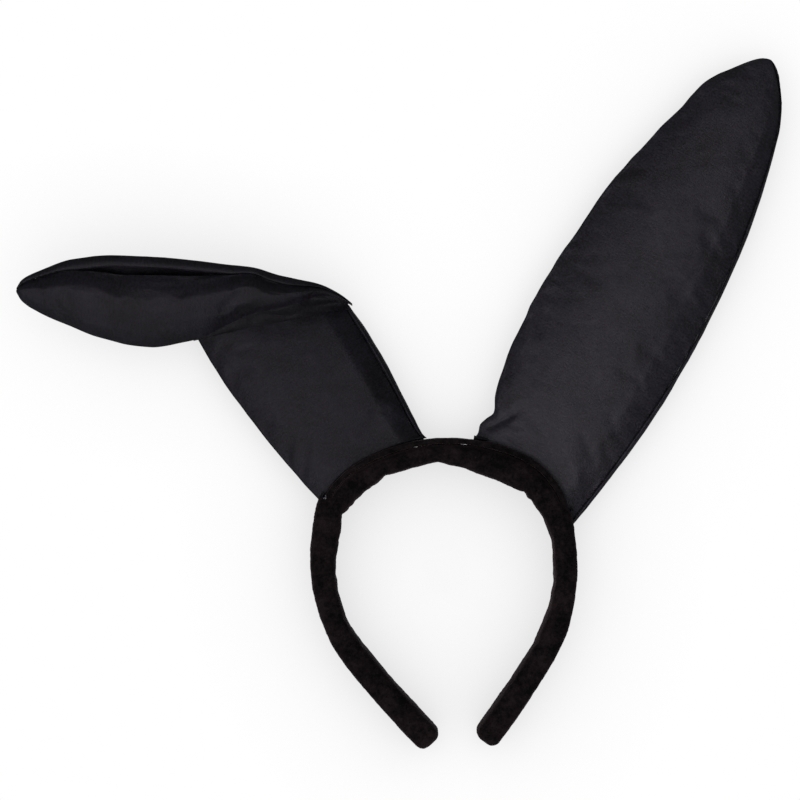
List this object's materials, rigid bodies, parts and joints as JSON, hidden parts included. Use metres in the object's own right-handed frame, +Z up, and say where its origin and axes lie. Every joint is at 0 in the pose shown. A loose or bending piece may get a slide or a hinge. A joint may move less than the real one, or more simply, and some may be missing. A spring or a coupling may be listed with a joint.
{
  "type": "animal ears headband",
  "caption": "Padded velvet headband with two tall stuffed satin rabbit ears on wire rims, one straight and one folded sideways.",
  "frame": {"origin": "centre of the head opening, at the centre of the band's depth", "axes": "+Z up when worn, from the head opening to the crown; -Y forwards; +X to the side of the straight ear"},
  "size_m": [0.3972, 0.0337, 0.3402],
  "materials": {
    "satin": "black polyester satin with a soft sheen",
    "satin_seam": "rolled satin seam",
    "velvet": "black short-pile velvet",
    "strip_velvet": "black ribbed velvet ribbon",
    "foam": "dark open foam",
    "wadding": "loose polyester wadding",
    "core_plastic": "moulded black plastic",
    "wire": "drawn steel wire",
    "thread": "polyester thread"
  },
  "bodies": {
    "crown": {"core_crown": "core_plastic", "foam_crown": "foam", "velvet_crown": "velvet", "ear_strip": "strip_velvet", "strip_stitches": "thread", "left_hem": "satin", "right_hem": "satin"},
    "arm_left": {"core_arm_left": "core_plastic", "foam_arm_left": "foam", "velvet_arm_left": "velvet", "end_cap_left": "velvet"},
    "arm_right": {"core_arm_right": "core_plastic", "foam_arm_right": "foam", "velvet_arm_right": "velvet", "end_cap_right": "velvet"},
    "ear_left_base": {"left_base_front": "satin", "left_base_back": "satin", "left_base_wadding": "wadding", "left_base_wire": "wire", "left_base_seam": "satin_seam", "left_pleat": "satin"},
    "ear_left_tip": {"left_tip_front": "satin", "left_tip_back": "satin", "left_tip_wadding": "wadding", "left_tip_wire": "wire", "left_tip_seam": "satin_seam"},
    "ear_right_base": {"right_base_front": "satin", "right_base_back": "satin", "right_base_wadding": "wadding", "right_base_wire": "wire", "right_base_seam": "satin_seam"},
    "ear_right_tip": {"right_tip_front": "satin", "right_tip_back": "satin", "right_tip_wadding": "wadding", "right_tip_wire": "wire", "right_tip_seam": "satin_seam"}
  },
  "joints": [
    {"name": "left_arm_flex", "type": "hinge", "parent": "crown", "child": "arm_left", "pos_m": [-0.06675, 0, 0.01864], "axis": [0, 1, 0], "range_deg": [0, 12], "stiffness_Nm_per_rad": 0.7},
    {"name": "right_arm_flex", "type": "hinge", "parent": "crown", "child": "arm_right", "pos_m": [0.06675, 0, 0.01864], "axis": [0, -1, 0], "range_deg": [0, 12], "stiffness_Nm_per_rad": 0.7},
    {"name": "left_ear_tilt", "type": "hinge", "parent": "crown", "child": "ear_left_base", "pos_m": [-0.0366, 0, 0.0569], "axis": [0.9089, 0, 0.417], "range_deg": [-30, 30]},
    {"name": "left_ear_bend", "type": "hinge", "parent": "ear_left_base", "child": "ear_left_tip", "pos_m": [-0.03779, 0, 0.13933], "axis": [0, 1, 0], "range_deg": [-12, 40]},
    {"name": "right_ear_tilt", "type": "hinge", "parent": "crown", "child": "ear_right_base", "pos_m": [0.0471, 0, 0.0472], "axis": [0.7614, 0, -0.6483], "range_deg": [-30, 30]},
    {"name": "right_ear_bend", "type": "hinge", "parent": "ear_right_base", "child": "ear_right_tip", "pos_m": [0.0974, -0.0066, 0.12217], "axis": [0.8271, 0, -0.5621], "range_deg": [0, 110]}
  ]
}
